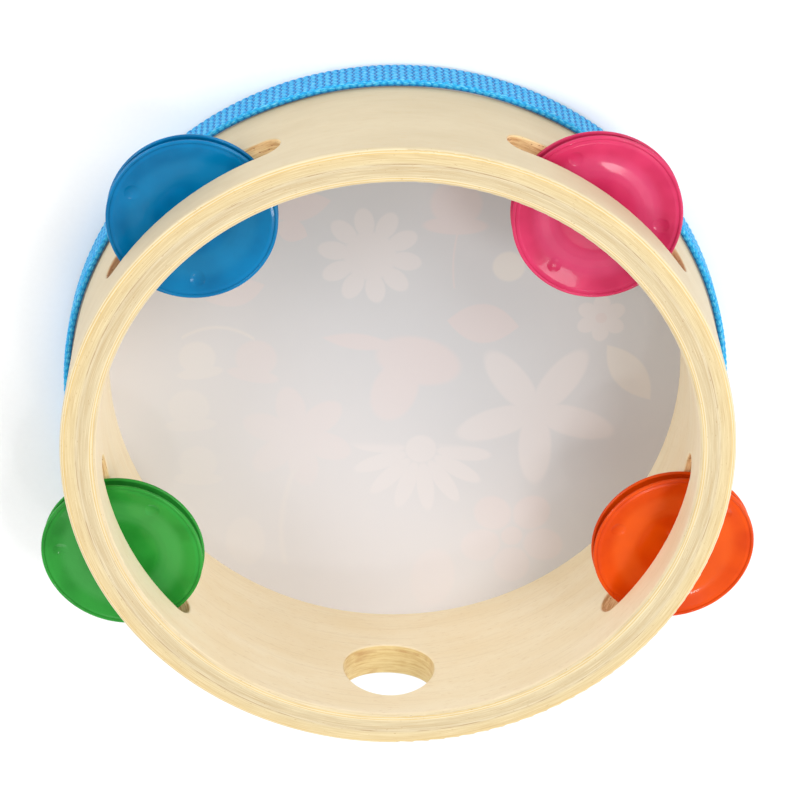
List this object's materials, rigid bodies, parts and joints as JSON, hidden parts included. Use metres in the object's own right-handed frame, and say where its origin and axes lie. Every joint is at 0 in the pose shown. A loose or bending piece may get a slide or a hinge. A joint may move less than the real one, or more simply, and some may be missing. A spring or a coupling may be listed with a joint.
{
  "type": "tambourine",
  "caption": "Small round hand tambourine with a laminated wooden hoop, one printed head, a woven edge band, a thumb hole and paired painted jingles on pins.",
  "frame": {"origin": "centre of the head's outer face, which the tambourine lies on", "axes": "+Z along the drum's axis out of its open side; -Y from the axis towards the thumb hole"},
  "size_m": [0.1647, 0.1538, 0.045],
  "materials": {
    "face_veneer": "smooth sanded birch face veneer, clear matt lacquer",
    "outer_core": "pale plywood edge grain with fine golden streaks",
    "inner_core": "slightly browner plywood edge grain",
    "head_film": "translucent satin polyester film with a printed flower pattern on its outside",
    "webbing": "ribbed woven polypropylene webbing",
    "pin_steel": "bright drawn wire",
    "enamel_blue": "gloss enamel on stamped steel",
    "enamel_pink": "gloss enamel on stamped steel",
    "enamel_green": "gloss enamel on stamped steel",
    "enamel_orange": "gloss enamel on stamped steel"
  },
  "bodies": {
    "frame": {"hoop_outer_veneer": "face_veneer", "hoop_outer_core": "outer_core", "hoop_inner_core": "inner_core", "hoop_inner_veneer": "face_veneer", "drum_head": "head_film", "webbing_band": "webbing", "pin_blue": "pin_steel", "pin_pink": "pin_steel", "pin_green": "pin_steel", "pin_orange": "pin_steel"},
    "blue_lower_jingle": {"jingle_blue_lower": "enamel_blue"},
    "blue_upper_jingle": {"jingle_blue_upper": "enamel_blue"},
    "pink_lower_jingle": {"jingle_pink_lower": "enamel_pink"},
    "pink_upper_jingle": {"jingle_pink_upper": "enamel_pink"},
    "green_lower_jingle": {"jingle_green_lower": "enamel_green"},
    "green_upper_jingle": {"jingle_green_upper": "enamel_green"},
    "orange_lower_jingle": {"jingle_orange_lower": "enamel_orange"},
    "orange_upper_jingle": {"jingle_orange_upper": "enamel_orange"}
  },
  "joints": [
    {"name": "blue_pair_rattle", "type": "slide", "parent": "frame", "child": "blue_lower_jingle", "axis": [0, 0, 1], "range_m": [0, 0.0017]},
    {"name": "blue_clash", "type": "slide", "parent": "blue_lower_jingle", "child": "blue_upper_jingle", "axis": [0, 0, 1], "range_m": [0, 0.0017]},
    {"name": "pink_pair_rattle", "type": "slide", "parent": "frame", "child": "pink_lower_jingle", "axis": [0, 0, 1], "range_m": [0, 0.0013]},
    {"name": "pink_clash", "type": "slide", "parent": "pink_lower_jingle", "child": "pink_upper_jingle", "axis": [0, 0, 1], "range_m": [0, 0.0013]},
    {"name": "green_pair_rattle", "type": "slide", "parent": "frame", "child": "green_lower_jingle", "axis": [0, 0, 1], "range_m": [0, 0.0013]},
    {"name": "green_clash", "type": "slide", "parent": "green_lower_jingle", "child": "green_upper_jingle", "axis": [0, 0, 1], "range_m": [0, 0.0013]},
    {"name": "orange_pair_rattle", "type": "slide", "parent": "frame", "child": "orange_lower_jingle", "axis": [0, 0, 1], "range_m": [0, 0.0013]},
    {"name": "orange_clash", "type": "slide", "parent": "orange_lower_jingle", "child": "orange_upper_jingle", "axis": [0, 0, 1], "range_m": [0, 0.0013]}
  ]
}
